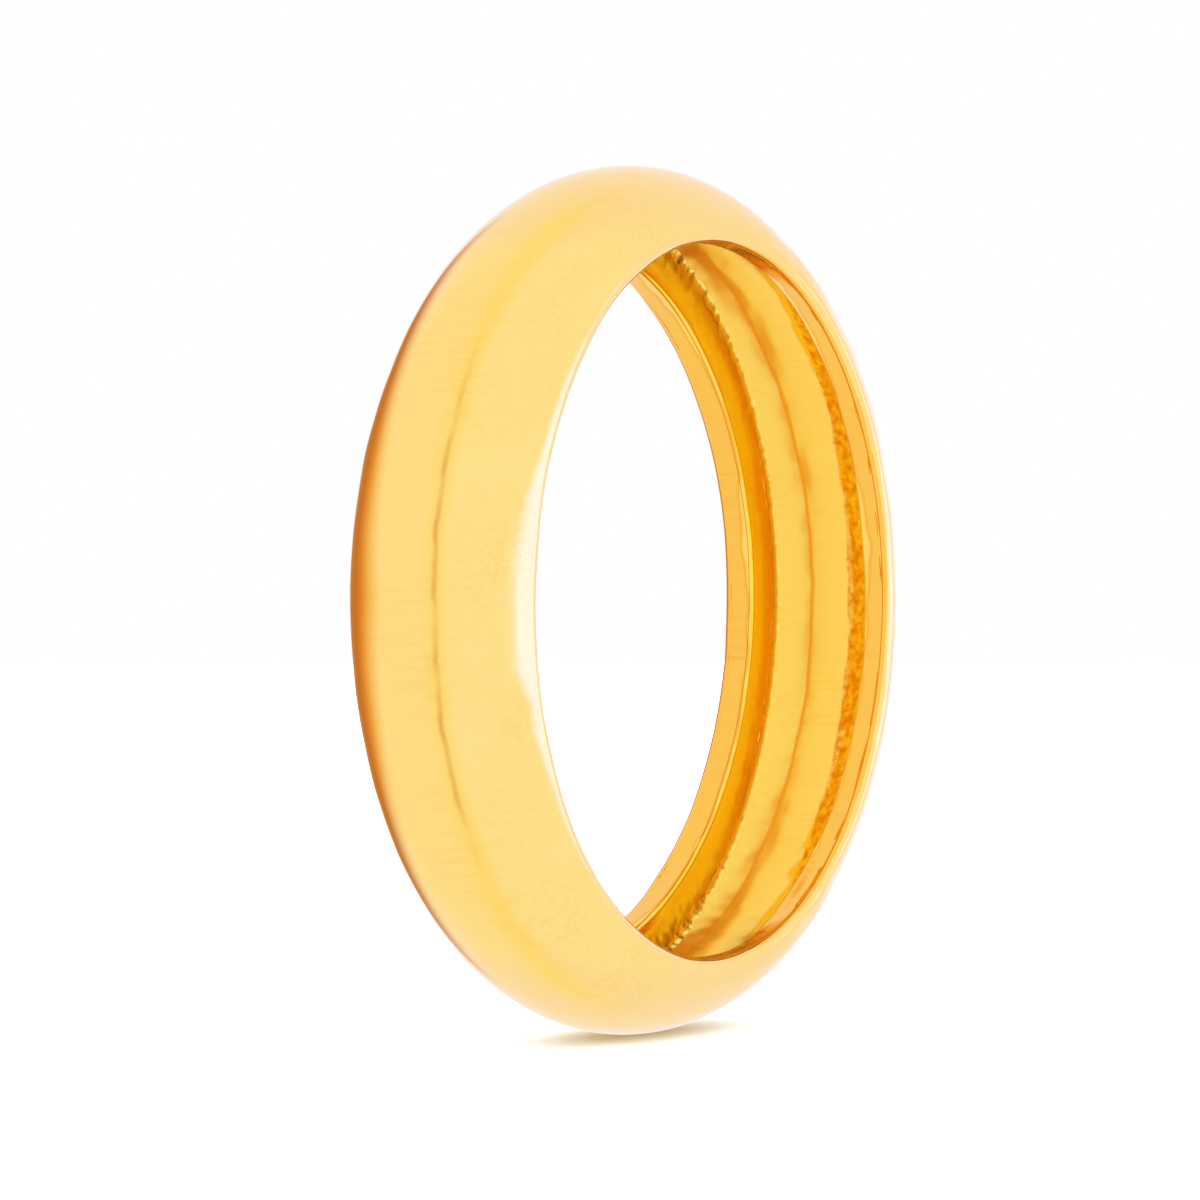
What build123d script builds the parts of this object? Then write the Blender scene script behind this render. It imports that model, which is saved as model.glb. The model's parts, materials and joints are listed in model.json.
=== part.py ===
from build123d import *
from math import acos, degrees, sqrt
import os

# Hollow-back wedding band, in millimetres: a domed shell of thin sheet, two rim strips that
# make the edges of the finger hole, and the hard solder that joins them.
# The ring axis is Y and the band stands upright, so +Z points to twelve o'clock. The origin is
# the centre of the finger hole. The front of the band faces -Y and the back faces +Y. A place
# round the band is an angle from +X (three o'clock) towards +Z.

# Driving dimensions
bore_diameter = 17.8          # finger hole, measured across the lands
outer_diameter = 21.8         # across the crown of the dome
band_width = 5.0              # front to back
dome_radius = 2.8             # half-round outer section
edge_radius = 1.2             # tighter curve that turns the dome into the side
shell_wall = 0.35             # sheet thickness of the domed shell
front_rim_width = 0.77        # front rim strip, from the side to the channel wall
back_rim_width = 0.88         # the same across the back rim strip
wall_lean = 5.0               # degrees that the channel walls lean in towards their feet
solder_height = 0.3           # solder run in each corner of the channel, up the wall
solder_width = 0.24           # the same run, out over the channel floor
solder_sag = 0.02             # how hollow the face of a solder run is
joint_gap = 0.1               # solder-filled gap of each butt joint

# Edge roundings of the rim strips
bore_edge_round = 0.25        # side to land
channel_edge_round = 0.15     # land to channel wall

# Places of the three butt joints round the band, in degrees
shell_joint_angle = -98.0
front_rim_joint_angle = 118.0
back_rim_joint_angle = -10.8

# Worked out from the driving dimensions. In a section, x is the distance from the ring axis
# and y is the place along it.
bore_radius = bore_diameter / 2
crown_radius = outer_diameter / 2
half_width = band_width / 2
lining_radius = dome_radius - shell_wall
dome_centre = Vector(crown_radius - dome_radius, 0)
corner_centre = Vector(bore_radius + bore_edge_round, half_width - bore_edge_round)

# The edge arc touches the dome circle and the bore-edge circle from inside and outside, so the
# three circle centres make a triangle with known sides.
dome_side = dome_radius - edge_radius
corner_side = edge_radius - bore_edge_round
corner_way = corner_centre - dome_centre
lean = degrees(
    acos(
        (dome_side**2 + corner_way.length**2 - corner_side**2)
        / (2 * dome_side * corner_way.length)
    )
)
dome_end_angle = Vector(1, 0).get_angle(corner_way) - lean
edge_centre = dome_centre + Vector(dome_side, 0).rotate(Axis.Z, dome_end_angle)
edge_end_angle = Vector(1, 0).get_angle(corner_centre - edge_centre)

# The shell stands on a shoulder of each rim, where the edge arc meets the bore-edge rounding.
shoulder_outside = edge_centre + Vector(edge_radius, 0).rotate(Axis.Z, edge_end_angle)
shoulder_inside = Vector(
    shoulder_outside.X,
    sqrt(lining_radius**2 - (shoulder_outside.X - dome_centre.X) ** 2),
)


def on_lining(place):
    """Point of the shell's inner surface, at a place along the ring axis."""
    return Vector(dome_centre.X + sqrt(lining_radius**2 - place**2), place)


def channel_wall(rim_width):
    """Land corner of a leaning channel wall, and the foot where it meets the lining."""
    land_corner = Vector(bore_radius, half_width - rim_width)
    downwards = Vector(1, 0).rotate(Axis.Z, -wall_lean)
    from_centre = land_corner - dome_centre
    run_up = from_centre.dot(downwards)
    wall_depth = sqrt(run_up**2 + lining_radius**2 - from_centre.length**2) - run_up
    return land_corner, land_corner + downwards * wall_depth


def section_plane(angle):
    """Plane through the ring axis: its x points outwards at the angle, its y along +Y."""
    return Plane.XY.rotated((0, -angle, 0))


def joint_span(distance):
    """Angle that a butt joint takes up at a distance from the ring axis."""
    return degrees(joint_gap / distance)


def shell_section():
    """Crescent of sheet: dome, two edge arcs, the cut edges and the lining."""
    edge_sweep = edge_end_angle - dome_end_angle
    with BuildSketch() as section:
        with BuildLine():
            CenterArc(dome_centre, dome_radius, -dome_end_angle, 2 * dome_end_angle)
            back_edge = CenterArc(edge_centre, edge_radius, dome_end_angle, edge_sweep)
            mirror(back_edge, about=Plane.XZ)
            back_cut = Line(shoulder_outside, shoulder_inside)
            front_cut = mirror(back_cut, about=Plane.XZ)
            ThreePointArc(back_cut @ 1, on_lining(0), front_cut.edges()[0] @ 1)
        make_face()
    return section.sketch


def rim_section(rim_width):
    """Back rim strip: shoulder, bore-edge rounding, land, channel wall and lining side."""
    land_corner, wall_foot = channel_wall(rim_width)
    halfway = (shoulder_inside.Y + wall_foot.Y) / 2
    with BuildSketch() as section:
        with BuildLine():
            Line(shoulder_inside, shoulder_outside)
            rounding = CenterArc(
                corner_centre, bore_edge_round, edge_end_angle, 180 - edge_end_angle
            )
            Polyline(rounding @ 1, land_corner, wall_foot)
            ThreePointArc(wall_foot, on_lining(halfway), shoulder_inside)
        make_face()
        channel_edge = section.vertices().sort_by(Axis.Y)[:2].sort_by(Axis.X)[0]
        fillet(channel_edge, channel_edge_round)
    return section.sketch


def solder_section(rim_width):
    """Solder run in the back corner of the channel, with a slightly hollow face."""
    land_corner, wall_foot = channel_wall(rim_width)
    on_wall = wall_foot + (land_corner - wall_foot).normalized() * solder_height
    on_floor = on_lining(wall_foot.Y - solder_width)
    with BuildSketch() as section:
        with BuildLine():
            Line(wall_foot, on_wall)
            SagittaArc(on_wall, on_floor, -solder_sag)
            ThreePointArc(on_floor, on_lining(wall_foot.Y - solder_width / 2), wall_foot)
        make_face()
    return section.sketch


os.makedirs("parts", exist_ok=True)

# Domed shell: one strip of sheet, bent into a hoop that is open at its butt joint.
shell_span = joint_span(crown_radius)
with BuildPart() as dome_shell:
    with BuildSketch(section_plane(shell_joint_angle - shell_span / 2)):
        add(shell_section())
    revolve(axis=Axis.Y, revolution_arc=360 - shell_span)
dome_shell.part.label = "dome_shell"
export_step(dome_shell.part, "parts/dome_shell.step")

# Solder that fills the shell's butt joint.
with BuildPart() as shell_solder_seam:
    with BuildSketch(section_plane(shell_joint_angle + shell_span / 2)):
        add(shell_section())
    revolve(axis=Axis.Y, revolution_arc=shell_span)
shell_solder_seam.part.label = "shell_solder_seam"
export_step(shell_solder_seam.part, "parts/shell_solder_seam.step")

# Back rim strip and the solder of its butt joint.
rim_span = joint_span(bore_radius)
with BuildPart() as back_rim:
    with BuildSketch(section_plane(back_rim_joint_angle - rim_span / 2)):
        add(rim_section(back_rim_width))
    revolve(axis=Axis.Y, revolution_arc=360 - rim_span)
back_rim.part.label = "back_rim"
export_step(back_rim.part, "parts/back_rim.step")

with BuildPart() as back_rim_solder_seam:
    with BuildSketch(section_plane(back_rim_joint_angle + rim_span / 2)):
        add(rim_section(back_rim_width))
    revolve(axis=Axis.Y, revolution_arc=rim_span)
back_rim_solder_seam.part.label = "back_rim_solder_seam"
export_step(back_rim_solder_seam.part, "parts/back_rim_solder_seam.step")

# Front rim strip and its joint: the back section turned over to the front of the band.
with BuildPart() as front_rim:
    with BuildSketch(section_plane(front_rim_joint_angle - rim_span / 2)):
        add(mirror(rim_section(front_rim_width), about=Plane.XZ, mode=Mode.PRIVATE))
    revolve(axis=Axis.Y, revolution_arc=360 - rim_span)
front_rim.part.label = "front_rim"
export_step(front_rim.part, "parts/front_rim.step")

with BuildPart() as front_rim_solder_seam:
    with BuildSketch(section_plane(front_rim_joint_angle + rim_span / 2)):
        add(mirror(rim_section(front_rim_width), about=Plane.XZ, mode=Mode.PRIVATE))
    revolve(axis=Axis.Y, revolution_arc=rim_span)
front_rim_solder_seam.part.label = "front_rim_solder_seam"
export_step(front_rim_solder_seam.part, "parts/front_rim_solder_seam.step")

# Solder runs that join each rim to the shell, all the way round the channel.
with BuildPart() as back_solder_fillet:
    with BuildSketch(Plane.XY):
        add(solder_section(back_rim_width))
    revolve(axis=Axis.Y)
back_solder_fillet.part.label = "back_solder_fillet"
export_step(back_solder_fillet.part, "parts/back_solder_fillet.step")

with BuildPart() as front_solder_fillet:
    with BuildSketch(Plane.XY):
        add(mirror(solder_section(front_rim_width), about=Plane.XZ, mode=Mode.PRIVATE))
    revolve(axis=Axis.Y)
front_solder_fillet.part.label = "front_solder_fillet"
export_step(front_solder_fillet.part, "parts/front_solder_fillet.step")
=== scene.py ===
import json
from math import acos, atan2, cos, exp, hypot, pi, radians, sin, sqrt, tan

import bpy
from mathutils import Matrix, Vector, noise


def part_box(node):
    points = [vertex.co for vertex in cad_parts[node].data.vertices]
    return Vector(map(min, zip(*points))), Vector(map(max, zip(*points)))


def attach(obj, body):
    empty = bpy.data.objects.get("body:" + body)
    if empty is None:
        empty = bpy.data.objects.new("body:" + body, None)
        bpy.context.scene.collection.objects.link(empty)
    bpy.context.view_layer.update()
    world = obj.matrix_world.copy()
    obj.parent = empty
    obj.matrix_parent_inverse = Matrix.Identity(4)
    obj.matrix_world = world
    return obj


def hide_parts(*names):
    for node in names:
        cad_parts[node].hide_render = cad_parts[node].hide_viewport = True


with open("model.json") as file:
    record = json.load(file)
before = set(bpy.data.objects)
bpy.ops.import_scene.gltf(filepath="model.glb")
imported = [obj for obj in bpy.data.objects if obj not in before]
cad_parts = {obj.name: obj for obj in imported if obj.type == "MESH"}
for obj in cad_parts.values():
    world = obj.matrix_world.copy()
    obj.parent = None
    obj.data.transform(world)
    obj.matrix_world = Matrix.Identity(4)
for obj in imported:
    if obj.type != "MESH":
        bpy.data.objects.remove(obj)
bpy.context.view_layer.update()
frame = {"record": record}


# ---- Camera -----------------------------------------------------------------------------
# A long lens at the height of the finger hole, looking at the left of the band and a little
# into its front, so the far half of the channel shows through the hole.

camera_azimuth = radians(-59.9)
camera_elevation = radians(0.7)
camera_distance = 0.1326
picture_height = 0.03017
ring_right_of_middle = 0.00095

back = Vector((
    sin(camera_azimuth) * cos(camera_elevation),
    -cos(camera_azimuth) * cos(camera_elevation),
    sin(camera_elevation),
))
right = Vector((cos(camera_azimuth), sin(camera_azimuth), 0))
lens = bpy.data.cameras.new("lens")
lens.angle = 2 * atan2(picture_height / 2, camera_distance)
lens.clip_start = 0.01
lens.clip_end = 5
camera = bpy.data.objects.new("camera", lens)
camera.location = back * camera_distance
aim = -right * ring_right_of_middle - camera.location
camera.rotation_euler = aim.to_track_quat("-Z", "Y").to_euler()
bpy.context.scene.collection.objects.link(camera)
bpy.context.scene.camera = camera
bpy.context.scene.view_settings.view_transform = "Standard"


# ---- Light tent --------------------------------------------------------------------------
# The band stands in a white light tent. Polished gold shows what is round it, so the tent has
# the parts that matter: a cool bright window in front, a dim warm opening behind, and the narrow
# seam of the tent straight to the left. The front is -Y and the right is +X.

tent = bpy.data.worlds.new("light_tent")
bpy.context.scene.world = tent
tent.use_nodes = True
tent_nodes = tent.node_tree.nodes
tent_links = tent.node_tree.links
tent_nodes.clear()

tent_white = (1.0, 1.0, 1.0, 1)
tent_left = (1.0, 0.96, 0.88, 1)
tent_right = (0.985, 0.93, 1.0, 1)
seam_glow = (1.0, 0.95, 0.66, 1)
seam_line = (0.8, 0.5, 0.3, 1)
window_cool = (1.1, 1.28, 2.9, 1)
window_jamb = (1.0, 1.1, 1.75, 1)
# Brightness of the tent where it lights the floor. It is more than the gold gets, so that the
# shadow under the band stays faint.
floor_light = (3.6, 3.6, 3.6, 1)
# Azimuth in degrees at the foot of the dim opening, and the colour of the tent there.
opening_shades = (
    (44, (0.62, 0.28, 0.09, 1)),
    (70, (0.56, 0.21, 0.05, 1)),
    (84, (0.72, 0.31, 0.075, 1)),
    (94, (0.85, 0.47, 0.17, 1)),
    (104, (0.94, 0.68, 0.38, 1)),
    (122, (1.0, 0.96, 0.88, 1)),
)
# Degrees that the left side of the opening leans in from its foot to straight overhead.
opening_lean = 45
# How far behind the middle of the tent the seam starts, how much further back it bows overhead
# and how far the creases move it, all as parts of the tent's radius.
seam_behind = 0.03
seam_bow = 0.07
seam_wander = 0.2


def tent_math(operation, first, second=0.5, third=0.5):
    """One arithmetic node of the tent; each value is a number or another node's output."""
    node = tent_nodes.new("ShaderNodeMath")
    node.operation = operation
    for socket, value in zip(node.inputs, (first, second, third)):
        if isinstance(value, bpy.types.NodeSocket):
            tent_links.new(value, socket)
        else:
            socket.default_value = value
    return node.outputs[0]


def tent_fade(value, low, high):
    """Rises smoothly from 0 at low to 1 at high, or falls where low is the larger."""
    node = tent_nodes.new("ShaderNodeMapRange")
    node.interpolation_type = "SMOOTHSTEP"
    tent_links.new(value, node.inputs["Value"])
    node.inputs["From Min"].default_value = low
    node.inputs["From Max"].default_value = high
    return node.outputs["Result"]


def tent_mix(amount, below, above):
    """Colour of the tent: below where the amount is 0, above where it is 1."""
    node = tent_nodes.new("ShaderNodeMix")
    node.data_type = "RGBA"
    tent_links.new(amount, node.inputs["Factor"])
    for socket, value in ((node.inputs["A"], below), (node.inputs["B"], above)):
        if isinstance(value, bpy.types.NodeSocket):
            tent_links.new(value, socket)
        else:
            socket.default_value = value
    return node.outputs["Result"]


direction = tent_nodes.new("ShaderNodeTexCoord").outputs["Generated"]
split = tent_nodes.new("ShaderNodeSeparateXYZ")
tent_links.new(direction, split.inputs[0])
height = tent_math("ABSOLUTE", split.outputs["Z"])
degrees_round = tent_math(
    "MULTIPLY", tent_math("ARCTAN2", split.outputs["Y"], split.outputs["X"]), 180 / pi
)

# The left and right walls of the tent are a little warmer and cooler than the rest.
on_left = tent_math(
    "MULTIPLY", tent_fade(degrees_round, 186, 172), tent_fade(degrees_round, 20, 110)
)
colour = tent_mix(on_left, tent_white, tent_left)
on_right = tent_math(
    "MULTIPLY", tent_fade(degrees_round, -50, -15), tent_fade(degrees_round, 75, 45)
)
colour = tent_mix(on_right, colour, tent_right)

# Seam, in a bowed plane through the left and the roof of the tent. Its glow is wider than its
# line, and the creased cloth makes the line wander and come and go.
facing_left = tent_fade(split.outputs["X"], 0.65, 0.3)
bow = tent_math("MULTIPLY_ADD", tent_math("MULTIPLY", height, height), seam_bow, seam_behind)
up_seam = tent_nodes.new("ShaderNodeCombineXYZ")
tent_links.new(split.outputs["Z"], up_seam.inputs["Z"])
crease = tent_nodes.new("ShaderNodeTexNoise")
crease.inputs["Scale"].default_value = 5
crease.inputs["Detail"].default_value = 3
tent_links.new(up_seam.outputs[0], crease.inputs["Vector"])
wander = tent_math("MULTIPLY", tent_math("SUBTRACT", crease.outputs["Fac"], 0.5), seam_wander)
off_bow = tent_math("SUBTRACT", split.outputs["Y"], bow)
off_seam = tent_math("ABSOLUTE", tent_math("ADD", off_bow, wander))
glow = tent_math("MULTIPLY", tent_fade(off_seam, 0.26, 0.04), facing_left)
colour = tent_mix(glow, colour, seam_glow)
on_line = tent_math("MULTIPLY", tent_fade(off_seam, 0.08, 0.0), facing_left)
line_strength = tent_math(
    "MULTIPLY",
    tent_math("MULTIPLY_ADD", tent_fade(crease.outputs["Fac"], 0.62, 0.4), 0.6, 0.3),
    tent_fade(height, 0.98, 0.7),
)
colour = tent_mix(tent_math("MULTIPLY", on_line, line_strength), colour, seam_line)

# Opening behind, warm and dim. Its left side leans in with height like half an arch, and it is
# darkest a little to the right of its middle.
shades = tent_nodes.new("ShaderNodeValToRGB")
first_azimuth = opening_shades[0][0]
azimuth_span = opening_shades[-1][0] - first_azimuth
leaned_azimuth = tent_math("MULTIPLY_ADD", height, opening_lean, degrees_round)
across_opening = tent_math(
    "DIVIDE", tent_math("SUBTRACT", leaned_azimuth, first_azimuth), azimuth_span
)
tent_links.new(across_opening, shades.inputs["Fac"])
for azimuth, shade in opening_shades:
    place = (azimuth - first_azimuth) / azimuth_span
    stop = shades.color_ramp.elements.new(place)
    stop.color = shade
shades.color_ramp.elements.remove(shades.color_ramp.elements[0])
shades.color_ramp.elements.remove(shades.color_ramp.elements[-1])
opening = tent_math(
    "MULTIPLY",
    tent_math(
        "MULTIPLY", tent_fade(leaned_azimuth, 124, 118), tent_fade(degrees_round, 42, 48)
    ),
    tent_fade(height, 0.54, 0.22),
)
colour = tent_mix(opening, colour, shades.outputs["Color"])

# Window in front, a low wide band of daylight, with a paler jamb on its right.
jamb = tent_math(
    "MULTIPLY",
    tent_math("MULTIPLY", tent_fade(degrees_round, -22, -8), tent_fade(degrees_round, 34, 22)),
    tent_fade(height, 0.3, 0.12),
)
colour = tent_mix(jamb, colour, window_jamb)
window = tent_math(
    "MULTIPLY",
    tent_math(
        "MULTIPLY", tent_fade(degrees_round, -114, -84), tent_fade(degrees_round, -34, -46)
    ),
    tent_fade(height, 0.26, 0.13),
)
colour = tent_mix(window, colour, window_cool)

path = tent_nodes.new("ShaderNodeLightPath")
colour = tent_mix(path.outputs["Is Diffuse Ray"], colour, floor_light)
colour = tent_mix(path.outputs["Is Camera Ray"], colour, tent_white)
cloth = tent_nodes.new("ShaderNodeBackground")
tent_links.new(colour, cloth.inputs["Color"])
tent_out = tent_nodes.new("ShaderNodeOutputWorld")
tent_links.new(cloth.outputs[0], tent_out.inputs["Surface"])


# ---- Floor -------------------------------------------------------------------------------
# Matt white board. The band stands on it on the crown of its dome. The board is kept out of
# reflections, so that the gold shows the same even white below as above.

floor_radius = 0.4
crown_radius = max(abs(side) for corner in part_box("dome_shell") for side in corner)

bpy.ops.mesh.primitive_circle_add(
    vertices=128, radius=floor_radius, fill_type="NGON", location=(0, 0, -crown_radius)
)
floor = bpy.context.object
floor.name = "floor"
board = bpy.data.materials.new("white_board")
board.use_nodes = True
board_shader = board.node_tree.nodes["Principled BSDF"]
board_shader.inputs["Base Color"].default_value = (0.86, 0.86, 0.86, 1)
board_shader.inputs["Roughness"].default_value = 0.9
floor.data.materials.append(board)
floor.visible_glossy = False


# ---- Domed shell -------------------------------------------------------------------------
# The outside of the band: one strip of thin 22 carat sheet, pressed into a half-round section
# and bent into a hoop. Outside it is polished by hand; inside it is the floor of the channel.

dome_radius = 0.0028
edge_radius = 0.0012
sheet = 0.00035
bore_edge_round = 0.00025
joint_gap = 0.0001
shell_joint = radians(-98)
corner_angle = radians(25)
sharp_angle = radians(32)
bore_radius = frame["record"]["mounts"][0]["dims"]["r_mm"] / 1000
half_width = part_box("back_rim")[1].y
dome_centre = crown_radius - dome_radius
lining_radius = dome_radius - sheet
corner_distance = bore_radius + bore_edge_round
corner_place = half_width - bore_edge_round

# The edge arc touches the dome circle and the bore-edge circle, so their centres make a
# triangle with known sides.
dome_side = dome_radius - edge_radius
corner_side = edge_radius - bore_edge_round
corner_way = hypot(corner_distance - dome_centre, corner_place)
lean = acos((dome_side**2 + corner_way**2 - corner_side**2) / (2 * dome_side * corner_way))
dome_end = atan2(corner_place, corner_distance - dome_centre) - lean
edge_distance = dome_centre + dome_side * cos(dome_end)
edge_place = dome_side * sin(dome_end)
edge_end = atan2(corner_place - edge_place, corner_distance - edge_distance)


def arc(centre_distance, centre_place, radius, first, last, count):
    """Points of a circular arc in the section, from one angle to another."""
    turns = (first + (last - first) * step / (count - 1) for step in range(count))
    return [
        (centre_distance + radius * cos(turn), centre_place + radius * sin(turn))
        for turn in turns
    ]


def on_lining(place):
    """Distance from the ring axis of the channel floor, at a place along the axis."""
    return dome_centre + sqrt(lining_radius**2 - place**2)


def hoop(name, outline, start, turn, steps, uneven=None):
    """Solid made by carrying a closed outline round the ring axis.

    The outline's points are (distance from the axis, place along it) and run anticlockwise.
    uneven(distance, place, angle) says how far a point stands out of the true section. At a
    sharp corner the point moves with the finer of the two stretches that meet there.
    """
    closed = turn > 2 * pi - 1e-6
    rows = steps if closed else steps + 1
    count = len(outline)
    outward = []
    for index in range(count):
        here = Vector(outline[index])
        inwards = here - Vector(outline[index - 1])
        onwards = Vector(outline[(index + 1) % count]) - here
        along = inwards.normalized() + onwards.normalized()
        if inwards.angle(onwards) > corner_angle:
            along = min(inwards, onwards, key=lambda stretch: stretch.length)
        along = along.normalized()
        outward.append((along.y, -along.x))
    points = []
    for row in range(rows):
        angle = start + turn * row / steps
        for (distance, place), (out, side) in zip(outline, outward):
            lift = uneven(distance, place, angle) if uneven else 0
            reach = distance + out * lift
            points.append((reach * cos(angle), place + side * lift, reach * sin(angle)))
    faces = []
    for row in range(rows if closed else rows - 1):
        here = row * count
        ahead = (row + 1) % rows * count
        for index in range(count):
            after = (index + 1) % count
            faces.append((here + index, here + after, ahead + after, ahead + index))
    if not closed:
        faces.append(tuple(reversed(range(count))))
        faces.append(tuple(range((rows - 1) * count, rows * count)))
    mesh = bpy.data.meshes.new(name)
    mesh.from_pydata(points, [], faces)
    mesh.shade_smooth()
    mesh.set_sharp_from_angle(angle=sharp_angle)
    piece = bpy.data.objects.new(name, mesh)
    bpy.context.scene.collection.objects.link(piece)
    return piece


def round_and_across(distance, place, angle, round_scale, across_scale):
    """Place on the band for a noise pattern: features per metre round it and across it."""
    return Vector((
        cos(angle) * distance * round_scale,
        sin(angle) * distance * round_scale,
        place * across_scale,
    ))


def ramp(value, start, end):
    """0 up to start, rising evenly to 1 at end."""
    return min(1, max(0, (value - start) / (end - start)))


def hand_polish(distance, place, angle):
    """Slow waves of a hand-polished surface, stronger towards the sides."""
    waves = noise.noise(round_and_across(distance, place, angle, 230, 420))
    side = ramp(abs(place), 0.0016, 0.0024)
    side_waves = noise.noise(round_and_across(distance, place, angle, 640, 420))
    side_ripple = noise.noise(round_and_across(distance, place, angle, 1700, 900))
    return 2e-5 * waves + side * (2.6e-5 * side_waves + 5e-6 * side_ripple)


def ragged(distance, angle):
    """How rough the work is at a place round the channel, 0.5 to 1: worst at the bottom."""
    patches = noise.noise(round_and_across(distance, 0, angle, 260, 0))
    return max(0.5, min(1, 0.6 - 0.3 * sin(angle) + 0.6 * patches))


def crumple(distance, place, angle):
    """Creases of the back side of the channel, near the top and the bottom of the band."""
    amount = ramp(abs(sin(angle)), 0.8, 0.88) * ramp(place, 0.00088, 0.00128)
    creases = noise.noise(round_and_across(distance, place, angle, 5000, 4000))
    return amount * 8e-6 * creases


def bent_floor(distance, place, angle):
    """Unevenness of the channel floor: waves from bending the sheet, and tool marks across it."""
    waves = noise.noise(round_and_across(distance, place, angle, 480, 950))
    ripple = noise.noise(round_and_across(distance, place, angle, 1600, 2100))
    marks = noise.noise(round_and_across(distance, place, angle + place * 60, 4200, 800))
    marks_lift = 5e-6 * ragged(distance, angle) * marks
    # A shallow crease where two passes of the tool meet; it drifts back at the top and bottom.
    wander = noise.noise(round_and_across(distance, 0, angle, 420, 0))
    crease_place = 0.00064 + 0.00075 * (1 - abs(cos(angle))) + 6e-5 * wander
    crease = 1.6e-5 * exp(-abs(place - crease_place) / 0.0002)
    waves_lift = 1.8e-5 * waves + 8e-6 * ripple
    return waves_lift - crease + marks_lift + crumple(distance, place, angle)


def sheet_surface(distance, place, angle):
    """Outside of the sheet hand-polished, inside as it was bent."""
    inside = hypot(distance - dome_centre, place) < (dome_radius + lining_radius) / 2
    return bent_floor(distance, place, angle) if inside else hand_polish(distance, place, angle)


shoulder_distance = edge_distance + edge_radius * cos(edge_end)
lining_end = sqrt(lining_radius**2 - (shoulder_distance - dome_centre) ** 2)
lining_turn = atan2(lining_end, shoulder_distance - dome_centre)

front_edge = arc(edge_distance, -edge_place, edge_radius, -edge_end, -dome_end, 14)
dome = arc(dome_centre, 0, dome_radius, -dome_end, dome_end, 60)
back_edge = arc(edge_distance, edge_place, edge_radius, dome_end, edge_end, 14)
lining = arc(dome_centre, 0, lining_radius, lining_turn, -lining_turn, 96)
shell_outline = front_edge + dome[1:-1] + back_edge + lining
shell_gap = joint_gap / crown_radius

shell = hoop(
    "domed_shell",
    shell_outline,
    shell_joint + shell_gap / 2,
    2 * pi - shell_gap,
    steps=480,
    uneven=sheet_surface,
)


def node_group(name, inputs, outputs):
    """Empty shader node group with named sockets; returns it with its input and output nodes."""
    group = bpy.data.node_groups.new(name, "ShaderNodeTree")
    for socket_name, kind, value in inputs:
        socket = group.interface.new_socket(socket_name, in_out="INPUT", socket_type=kind)
        socket.default_value = value
    for socket_name, kind in outputs:
        group.interface.new_socket(socket_name, in_out="OUTPUT", socket_type=kind)
    return group, group.nodes.new("NodeGroupInput"), group.nodes.new("NodeGroupOutput")


def patch_noise(group, scale, detail, coordinates, stretch=(1, 1, 1)):
    """Noise texture in a group, with its pattern stretched along the axes."""
    mapping = group.nodes.new("ShaderNodeMapping")
    mapping.inputs["Scale"].default_value = stretch
    texture = group.nodes.new("ShaderNodeTexNoise")
    texture.inputs["Scale"].default_value = scale
    texture.inputs["Detail"].default_value = detail
    group.links.new(coordinates, mapping.inputs["Vector"])
    group.links.new(mapping.outputs[0], texture.inputs["Vector"])
    return texture.outputs["Fac"]


def spread(group, value, low, high):
    """Stretches a noise value so that low becomes 0 and high becomes 1."""
    node = group.nodes.new("ShaderNodeMapRange")
    group.links.new(value, node.inputs["Value"])
    node.inputs["From Min"].default_value = low
    node.inputs["From Max"].default_value = high
    return node.outputs["Result"]


def blend_between(group, kind, amount, low, high):
    """Mix node in a group, between two of its sockets; kind is FLOAT or RGBA."""
    node = group.nodes.new("ShaderNodeMix")
    node.data_type = kind
    group.links.new(amount, node.inputs["Factor"])
    group.links.new(low, node.inputs["A"])
    group.links.new(high, node.inputs["B"])
    return node.outputs["Result"]


def gold_finish_group():
    """Worn polish on gold: soft clouds in its colour and gloss, and fine polishing lines."""
    group, given, result = node_group(
        "gold_finish",
        (
            ("Colour", "NodeSocketColor", (1, 0.72, 0.25, 1)),
            ("Deep Colour", "NodeSocketColor", (1, 0.65, 0.15, 1)),
            ("Gloss Roughness", "NodeSocketFloat", 0.06),
            ("Worn Roughness", "NodeSocketFloat", 0.14),
        ),
        (
            ("Colour", "NodeSocketColor"),
            ("Roughness", "NodeSocketFloat"),
            ("Height", "NodeSocketFloat"),
        ),
    )
    place = group.nodes.new("ShaderNodeTexCoord").outputs["Object"]
    clouds = spread(group, patch_noise(group, 420, 3, place), 0.35, 0.68)
    lines = patch_noise(group, 2600, 2, place, (3, 0.15, 3))
    rubbed = spread(group, lines, 0.42, 0.62)
    worn = group.nodes.new("ShaderNodeMath")
    worn.operation = "MULTIPLY"
    group.links.new(clouds, worn.inputs[0])
    group.links.new(rubbed, worn.inputs[1])
    colour = blend_between(
        group, "RGBA", worn.outputs[0], given.outputs["Colour"], given.outputs["Deep Colour"]
    )
    roughness = blend_between(
        group,
        "FLOAT",
        worn.outputs[0],
        given.outputs["Gloss Roughness"],
        given.outputs["Worn Roughness"],
    )
    group.links.new(colour, result.inputs["Colour"])
    group.links.new(roughness, result.inputs["Roughness"])
    group.links.new(lines, result.inputs["Height"])
    return group


gold_finish = gold_finish_group()


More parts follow.
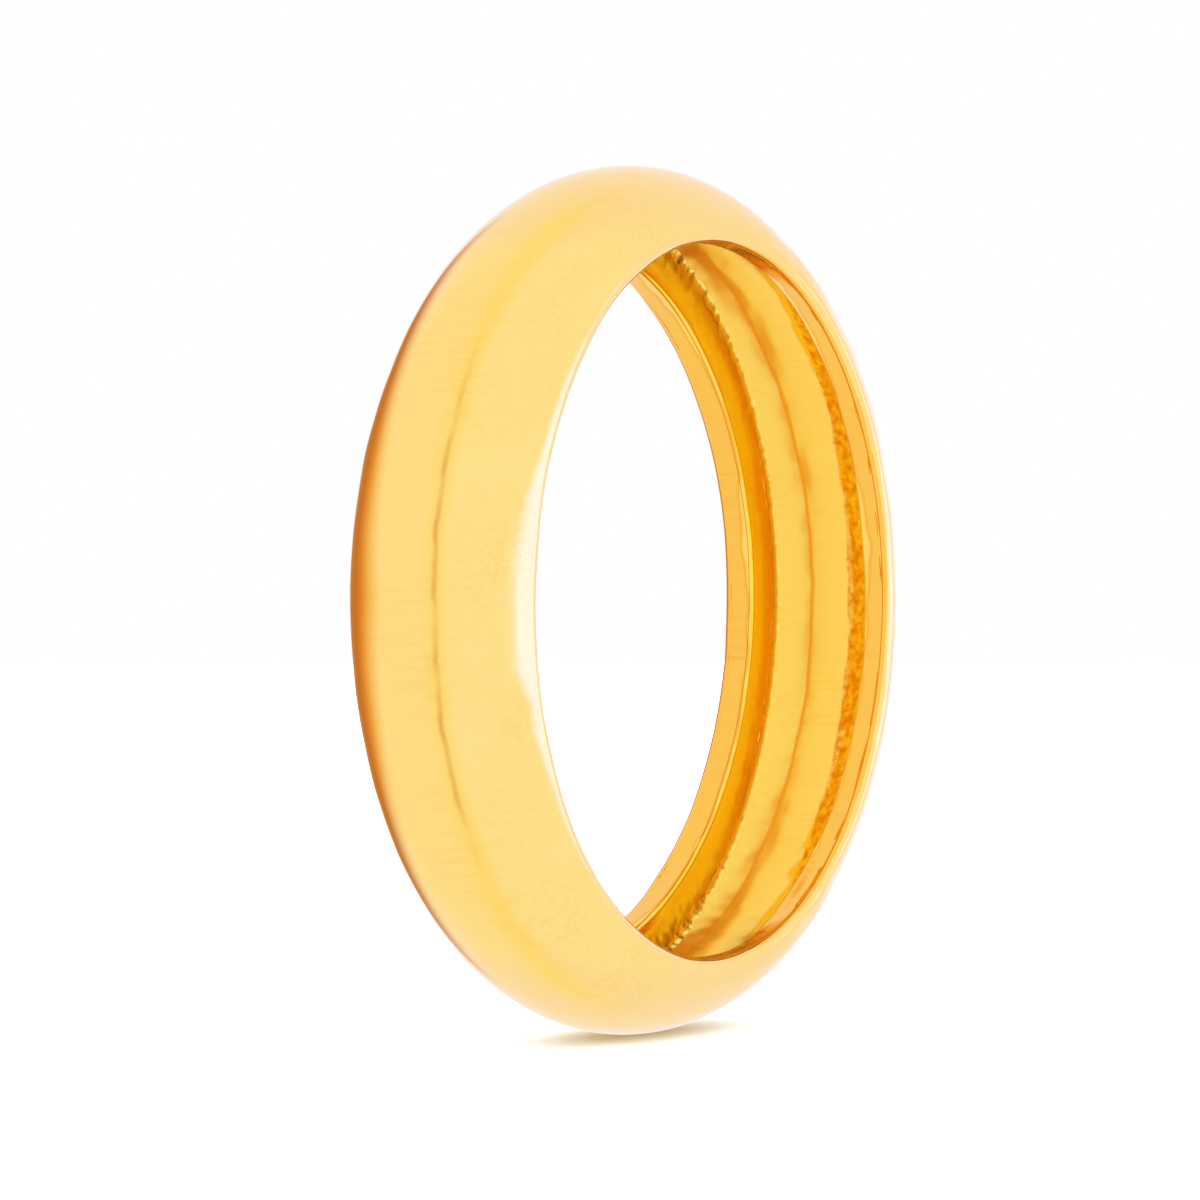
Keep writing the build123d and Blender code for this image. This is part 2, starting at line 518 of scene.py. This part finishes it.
def gold(name, colour, deep_colour, gloss, worn, relief):
    """Gold with the shared worn polish. relief is the depth of its polishing lines."""
    material = bpy.data.materials.new(name)
    material.use_nodes = True
    nodes, links = material.node_tree.nodes, material.node_tree.links
    shader = nodes["Principled BSDF"]
    shader.inputs["Metallic"].default_value = 1
    finish = nodes.new("ShaderNodeGroup")
    finish.node_tree = gold_finish
    finish.inputs["Colour"].default_value = colour
    finish.inputs["Deep Colour"].default_value = deep_colour
    finish.inputs["Gloss Roughness"].default_value = gloss
    finish.inputs["Worn Roughness"].default_value = worn
    bump = nodes.new("ShaderNodeBump")
    bump.inputs["Distance"].default_value = relief
    bump.inputs["Strength"].default_value = 1
    links.new(finish.outputs["Colour"], shader.inputs["Base Color"])
    links.new(finish.outputs["Roughness"], shader.inputs["Roughness"])
    links.new(finish.outputs["Height"], bump.inputs["Height"])
    links.new(bump.outputs["Normal"], shader.inputs["Normal"])
    return material


outside_gold = gold(
    "outside_gold", (1.0, 0.74, 0.258, 1), (1.0, 0.708, 0.21, 1), 0.07, 0.13, 1.5e-7
)
channel_gloss = 0.1
channel_dull = 0.2
channel_gold = gold(
    "channel_gold",
    (1.0, 0.665, 0.115, 1),
    (1.0, 0.62, 0.09, 1),
    channel_gloss,
    channel_dull,
    2e-7,
)


def channel_reflection_group():
    """Look of the channel floor: glossy, with a painted mottled reflection of the back wall and
    its solder along the front, and duller behind.
    """
    group, given, result = node_group(
        "painted_channel_reflection",
        (
            ("Floor Colour", "NodeSocketColor", (1, 0.665, 0.115, 1)),
            ("Reflection Colour", "NodeSocketColor", (1, 0.56, 0.08, 1)),
            ("Dark Reflection Colour", "NodeSocketColor", (0.82, 0.27, 0.01, 1)),
            ("Gloss Roughness", "NodeSocketFloat", 0.1),
            ("Dull Roughness", "NodeSocketFloat", 0.2),
        ),
        (("Colour", "NodeSocketColor"), ("Roughness", "NodeSocketFloat")),
    )
    place = group.nodes.new("ShaderNodeTexCoord").outputs["Object"]
    parts = group.nodes.new("ShaderNodeSeparateXYZ")
    group.links.new(place, parts.inputs[0])

    def shifted(pattern, amount):
        """Place along the ring axis, moved to and fro by a pattern."""
        node = group.nodes.new("ShaderNodeMath")
        node.operation = "MULTIPLY_ADD"
        group.links.new(pattern, node.inputs[0])
        node.inputs[1].default_value = amount
        group.links.new(parts.outputs["Y"], node.inputs[2])
        return node.outputs[0]

    # The front of the floor is painted with a mottled reflection of the back wall and its solder.
    # The edge of this painted reflection wanders.
    soft_edge = shifted(patch_noise(group, 900, 4, place), 0.0003)
    under_reflection = spread(group, soft_edge, -0.00026, -0.00033)
    reflection_mottle = spread(group, patch_noise(group, 4800, 2, place), 0.36, 0.66)
    reflection_colour = blend_between(
        group, "RGBA", reflection_mottle, given.outputs["Dark Reflection Colour"], given.outputs["Reflection Colour"]
    )
    colour = blend_between(group, "RGBA", under_reflection, given.outputs["Floor Colour"], reflection_colour)
    dull = spread(group, soft_edge, -0.0001, 0.0004)
    roughness = blend_between(
        group, "FLOAT", dull, given.outputs["Gloss Roughness"], given.outputs["Dull Roughness"]
    )
    group.links.new(colour, result.inputs["Colour"])
    group.links.new(roughness, result.inputs["Roughness"])
    return group


# The channel floor's colour carries a painted mottled reflection along its front.
painted_channel_reflection = channel_gold.node_tree.nodes.new("ShaderNodeGroup")
painted_channel_reflection.node_tree = channel_reflection_group()
painted_channel_reflection.inputs["Gloss Roughness"].default_value = channel_gloss
painted_channel_reflection.inputs["Dull Roughness"].default_value = channel_dull
channel_finish = channel_gold.node_tree.nodes["Group"]
channel_shader = channel_gold.node_tree.nodes["Principled BSDF"]
for source, target in (
    (channel_finish.outputs["Colour"], painted_channel_reflection.inputs["Floor Colour"]),
    (painted_channel_reflection.outputs["Colour"], channel_shader.inputs["Base Color"]),
    (painted_channel_reflection.outputs["Roughness"], channel_shader.inputs["Roughness"]),
):
    channel_gold.node_tree.links.new(source, target)
shell.data.materials.append(outside_gold)
shell.data.materials.append(channel_gold)
dome_middle = (dome_radius + lining_radius) / 2
for face in shell.data.polygons:
    middle = face.center
    from_axis = hypot(middle.x, middle.z)
    inside = hypot(from_axis - dome_centre, middle.y) < dome_middle
    face.material_index = 1 if inside and abs(middle.y) < lining_end else 0

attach(shell, "root")
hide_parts("dome_shell")


# ---- Rim strips --------------------------------------------------------------------------
# Two flat gold strips inside the edges of the shell. Their lands make the finger hole. The
# shell stands on a shoulder of each, and the channel edge of each land is filed by hand.

rim_widths = {"back_rim": 0.00088, "front_rim": 0.00077}
rim_joints = {"back_rim": radians(-10.8), "front_rim": radians(118)}
wall_lean = radians(5)
channel_edge_round = 0.00015
# The seat of a strip stops this far short of the shell, so that the two faces stay apart.
seat_clearance = 0.000004
# Distances from the ring axis where the painted light at the back wall's foot begins and is full.
foot_light_from = bore_radius + 0.0003
foot_light_to = bore_radius + 0.001
# Narrowest and widest painted highlight along the channel edge of a land, and the width of the
# painted dark line beside it.
narrowest_highlight = 0.00007
widest_highlight = 0.00034
dark_line_width = 0.00006
# The rounded bore edge is polished with the outside of the band from this place outwards.
polished_from = corner_place + bore_edge_round * sin(radians(40))
# The colour of the wall reaches this far up the rounded edge of the land.
wall_colour_up = 0.00003

# The walls of both strips are the same gold. The front wall is painted paler than the back one:
# painted light that brightens the back wall, which reflects the front wall by way of the floor.
wall_golds = {
    "back_rim": gold("back_wall_gold", (1, 0.73, 0.04, 1), (1, 0.69, 0.03, 1), 0.17, 0.26, 6e-7),
    "front_rim": gold("front_wall_gold", (1, 0.86, 0.4, 1), (1, 0.8, 0.3, 1), 0.12, 0.2, 6e-7),
}


def foot_light_group():
    """Colour of a wall: painted light, paler towards its foot, lifting the corner's shade."""
    group, given, result = node_group(
        "painted_foot_light",
        (
            ("Wall Colour", "NodeSocketColor", (1, 0.7, 0.06, 1)),
            ("Lit Foot Colour", "NodeSocketColor", (1, 0.9, 0.1, 1)),
        ),
        (("Colour", "NodeSocketColor"),),
    )
    place = group.nodes.new("ShaderNodeTexCoord").outputs["Object"]
    flat = group.nodes.new("ShaderNodeVectorMath")
    flat.operation = "MULTIPLY"
    group.links.new(place, flat.inputs[0])
    flat.inputs[1].default_value = (1, 0, 1)
    from_axis = group.nodes.new("ShaderNodeVectorMath")
    from_axis.operation = "LENGTH"
    group.links.new(flat.outputs[0], from_axis.inputs[0])
    at_foot = spread(group, from_axis.outputs["Value"], foot_light_from, foot_light_to)
    colour = blend_between(
        group, "RGBA", at_foot, given.outputs["Wall Colour"], given.outputs["Lit Foot Colour"]
    )
    group.links.new(colour, result.inputs["Colour"])
    return group


back_wall = wall_golds["back_rim"].node_tree
# The back wall gets painted light towards its foot, over the shade of its corner with the floor.
painted_foot_light = back_wall.nodes.new("ShaderNodeGroup")
painted_foot_light.node_tree = foot_light_group()
back_wall.links.new(back_wall.nodes["Group"].outputs["Colour"], painted_foot_light.inputs["Wall Colour"])
back_wall.links.new(
    painted_foot_light.outputs["Colour"], back_wall.nodes["Principled BSDF"].inputs["Base Color"]
)


def edge_highlight_group():
    """Colour of a land: a painted highlight of wandering width beside the channel, with a thin
    painted dark line, a painted reflection, where the highlight meets the flat of the land."""
    group, given, result = node_group(
        "painted_edge_highlight",
        (
            ("Flat Colour", "NodeSocketColor", (1, 0.6, 0.1, 1)),
            ("Highlight Colour", "NodeSocketColor", (1, 0.7, 0.16, 1)),
            ("Dark Line Colour", "NodeSocketColor", (0.93, 0.46, 0.05, 1)),
            ("Channel Edge", "NodeSocketFloat", 0.00162),
        ),
        (("Colour", "NodeSocketColor"),),
    )
    place = group.nodes.new("ShaderNodeTexCoord").outputs["Object"]
    parts = group.nodes.new("ShaderNodeSeparateXYZ")
    group.links.new(place, parts.inputs[0])
    across = group.nodes.new("ShaderNodeMath")
    across.operation = "ABSOLUTE"
    group.links.new(parts.outputs["Y"], across.inputs[0])
    from_edge = group.nodes.new("ShaderNodeMath")
    from_edge.operation = "SUBTRACT"
    group.links.new(across.outputs[0], from_edge.inputs[0])
    group.links.new(given.outputs["Channel Edge"], from_edge.inputs[1])
    wander = patch_noise(group, 340, 2, place, (1, 0, 1))
    highlight_end = spread(group, wander, 0.42, 0.68)
    highlight_end.node.inputs["To Min"].default_value = narrowest_highlight
    highlight_end.node.inputs["To Max"].default_value = widest_highlight
    past_highlight = group.nodes.new("ShaderNodeMath")
    past_highlight.operation = "SUBTRACT"
    group.links.new(from_edge.outputs[0], past_highlight.inputs[0])
    group.links.new(highlight_end, past_highlight.inputs[1])
    off_line = group.nodes.new("ShaderNodeMath")
    off_line.operation = "ABSOLUTE"
    group.links.new(past_highlight.outputs[0], off_line.inputs[0])
    on_flat = spread(group, past_highlight.outputs[0], -0.0001, 0.00002)
    off_line_amount = spread(group, off_line.outputs[0], 0.0, dark_line_width)
    body = blend_between(
        group, "RGBA", on_flat, given.outputs["Highlight Colour"], given.outputs["Flat Colour"]
    )
    colour = blend_between(group, "RGBA", off_line_amount, given.outputs["Dark Line Colour"], body)
    group.links.new(colour, result.inputs["Colour"])
    return group


painted_edge_highlight = edge_highlight_group()
land_golds = {}
for node, width in rim_widths.items():
    land_gold = gold(
        node + "_land_gold", (0.98, 0.57, 0.1, 1), (0.97, 0.545, 0.09, 1), 0.09, 0.2, 2e-7
    )
    # The land's colour gets a painted highlight and a painted dark line along its channel edge.
    highlight_node = land_gold.node_tree.nodes.new("ShaderNodeGroup")
    highlight_node.node_tree = painted_edge_highlight
    highlight_node.inputs["Channel Edge"].default_value = half_width - width
    finish = land_gold.node_tree.nodes["Group"]
    shader = land_gold.node_tree.nodes["Principled BSDF"]
    land_gold.node_tree.links.new(finish.outputs["Colour"], highlight_node.inputs["Flat Colour"])
    land_gold.node_tree.links.new(highlight_node.outputs["Colour"], shader.inputs["Base Color"])
    land_golds[node] = land_gold


def channel_wall(rim_width):
    """Land corner and foot of a leaning channel wall, and how deep it is."""
    land_corner = Vector((bore_radius, half_width - rim_width))
    downwards = Vector((cos(wall_lean), -sin(wall_lean)))
    from_centre = land_corner - Vector((dome_centre, 0))
    run_up = from_centre.dot(downwards)
    depth = sqrt(run_up**2 + lining_radius**2 - from_centre.length_squared) - run_up
    return land_corner, land_corner + downwards * depth, depth


def filed_edge(distance, place, angle):
    """Uneven filing of the land's channel edge, and the polish of the bore edge."""
    if abs(place) > corner_place:
        return hand_polish(distance, place, angle)
    wall_place = half_width - rim_widths["back_rim" if place > 0 else "front_rim"]
    near_edge = 1 - ramp(hypot(distance - bore_radius, abs(place) - wall_place), 0, 0.00035)
    wander = noise.noise(round_and_across(distance, 0, angle, 230, 0))
    ripple = noise.noise(round_and_across(distance, 0, angle, 900, 0) + Vector((3, 1, 0)))
    waves = noise.noise(round_and_across(distance, place, angle, 400, 300))
    down_wall = ramp(distance - bore_radius, 0.00035, 0.00075)
    comb = noise.noise(round_and_across(distance, place, angle + distance * 40, 4200, 300))
    edge_lift = near_edge * (1.0e-4 * wander + 1.5e-5 * ripple)
    marks = 9e-6 * comb * down_wall * ragged(distance, angle)
    return edge_lift + 3e-6 * waves + marks + crumple(distance, place, angle) * down_wall


def rim_outline(rim_width):
    """Section of a back rim strip, anticlockwise from its shoulder."""
    land_corner, foot, depth = channel_wall(rim_width)
    rounding = arc(corner_distance, corner_place, bore_edge_round, edge_end, pi, 22)
    edge_reach = channel_edge_round * tan((pi / 2 - wall_lean) / 2)
    edge_centre = (bore_radius + channel_edge_round, land_corner.y + edge_reach)
    edge = arc(*edge_centre, channel_edge_round, pi, 1.5 * pi - wall_lean, 14)
    land = [
        (bore_radius, corner_place + (edge_centre[1] - corner_place) * step / 10)
        for step in range(1, 10)
    ]
    down = foot - land_corner
    wall = [
        tuple(land_corner + down * (edge_reach + (depth - edge_reach) * step / 18) / depth)
        for step in range(1, 19)
    ]
    seat = [
        (on_lining(place) - seat_clearance, place)
        for place in (foot.y + (lining_end - foot.y) * step / 6 for step in range(1, 7))
    ]
    return rounding + land + edge + wall + seat


def mirrored(outline):
    """The same section turned over to the other side of the band."""
    return [(distance, -place) for distance, place in reversed(outline)]


back_outline = rim_outline(rim_widths["back_rim"])
front_outline = mirrored(rim_outline(rim_widths["front_rim"]))
rim_gap = joint_gap / bore_radius


def finish_strip(strip, node, land, wall, outside):
    """Gives the land, the channel wall and the polished side of a strip their own gold."""
    for material in (land, wall, outside):
        strip.data.materials.append(material)
    wall_place = half_width - rim_widths[node] + wall_colour_up
    for face in strip.data.polygons:
        if abs(face.center.y) > polished_from:
            face.material_index = 2
        elif abs(face.center.y) < wall_place:
            face.material_index = 1


for node, outline in (("back_rim", back_outline), ("front_rim", front_outline)):
    rim = hoop(
        node + "_strip",
        outline,
        rim_joints[node] + rim_gap / 2,
        2 * pi - rim_gap,
        steps=960,
        uneven=filed_edge,
    )
    finish_strip(rim, node, land_golds[node], wall_golds[node], outside_gold)
    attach(rim, "root")
    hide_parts(node)


# ---- Solder runs -------------------------------------------------------------------------
# Hard gold solder drawn into the corner between each rim strip and the shell. It is left as it
# flowed: a lumpy bead with a ragged edge on the channel floor.

bead_radius = 0.00033
bead_points = 20
# The hidden back of a bead goes this far into the metal.
tuck = 0.00002
# A bead's face stands this far out, so that its thin edges lie over the wall and the floor.
bead_proud = 2e-6

solder_golds = {
    "back": gold("back_solder_gold", (1, 0.78, 0.16, 1), (1, 0.66, 0.08, 1), 0.2, 0.32, 1.2e-6),
    "front": gold("front_solder_gold", (1, 0.8, 0.3, 1), (1, 0.7, 0.2, 1), 0.2, 0.3, 1e-6),
}


def bead_lumps(distance, place, angle):
    """Ripples of the solder, drawn out across the bead."""
    slant = angle + abs(place) * 60
    comb = noise.noise(Vector((cos(slant) * 38, sin(slant) * 38, place * 900)))
    teeth = noise.noise(Vector((cos(slant) * 90, sin(slant) * 90, place * 1800)))
    lumps = ragged(distance, angle) * (2.6e-5 * comb + 1.0e-5 * teeth)
    return lumps + crumple(distance, place, angle) + bead_proud


def bead_outline(rim_width):
    """Section of a back bead: a hollow face from floor to wall, and a back in the metal."""
    land_corner, foot, depth = channel_wall(rim_width)
    floor_slope = Vector((foot.y, dome_centre - foot.x)).normalized()
    wall_up = (land_corner - foot).normalized()
    floor_out = Vector((floor_slope.x, -abs(floor_slope.y)))
    opening = acos(wall_up.dot(floor_out))
    reach = bead_radius / tan(opening / 2)
    toward_air = (wall_up + floor_out).normalized()
    centre = foot + toward_air * bead_radius / sin(opening / 2)
    on_wall = foot + wall_up * reach - centre
    on_floor = foot + floor_out * reach - centre
    face = arc(
        *centre,
        bead_radius,
        atan2(on_floor.y, on_floor.x),
        atan2(on_wall.y, on_wall.x),
        bead_points,
    )
    in_wall = foot + wall_up * reach + Vector((0, tuck))
    in_corner = foot + Vector((tuck, tuck))
    in_floor = foot + floor_out * reach + Vector((tuck, 0))
    return face + [tuple(point) for point in (in_wall, in_corner, in_floor)]


def face_only(outline):
    """Unevenness for a bead, on the open face of its section and not on its hidden back."""
    face = outline[:bead_points]

    def uneven(distance, place, angle):
        nearest = min(hypot(distance - d, abs(place) - p) for d, p in face)
        return bead_lumps(distance, place, angle) if nearest < 1e-7 else 0

    return uneven


for side in ("back", "front"):
    section = bead_outline(rim_widths[side + "_rim"])
    outline = section if side == "back" else mirrored(section)
    bead = hoop(
        side + "_solder_run", outline, 0, 2 * pi, steps=1400, uneven=face_only(section)
    )
    bead.data.materials.append(solder_golds[side])
    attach(bead, "root")
    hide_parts(side + "_solder_fillet")


# ---- Butt joints -------------------------------------------------------------------------
# Each strip is closed into a hoop by a film of solder across its two ends. It has the section
# of its strip, because it is filed flush, and shows as a faint line of another shade.

outside_seam_gold = gold(
    "outside_seam_gold", (1.0, 0.72, 0.235, 1), (1.0, 0.69, 0.205, 1), 0.09, 0.15, 1.5e-7
)
land_seam_gold = gold(
    "land_seam_gold", (0.97, 0.55, 0.085, 1), (0.93, 0.49, 0.065, 1), 0.14, 0.24, 3e-7
)

shell_seam = hoop(
    "shell_joint_solder",
    shell_outline,
    shell_joint - shell_gap / 2,
    shell_gap,
    steps=2,
    uneven=sheet_surface,
)
shell_seam.data.materials.append(outside_seam_gold)
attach(shell_seam, "root")
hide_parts("shell_solder_seam")

for node, outline in (("back_rim", back_outline), ("front_rim", front_outline)):
    seam = hoop(
        node + "_joint_solder",
        outline,
        rim_joints[node] - rim_gap / 2,
        rim_gap,
        steps=2,
        uneven=filed_edge,
    )
    finish_strip(seam, node, land_seam_gold, wall_golds[node], outside_seam_gold)
    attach(seam, "root")
    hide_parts(node + "_solder_seam")
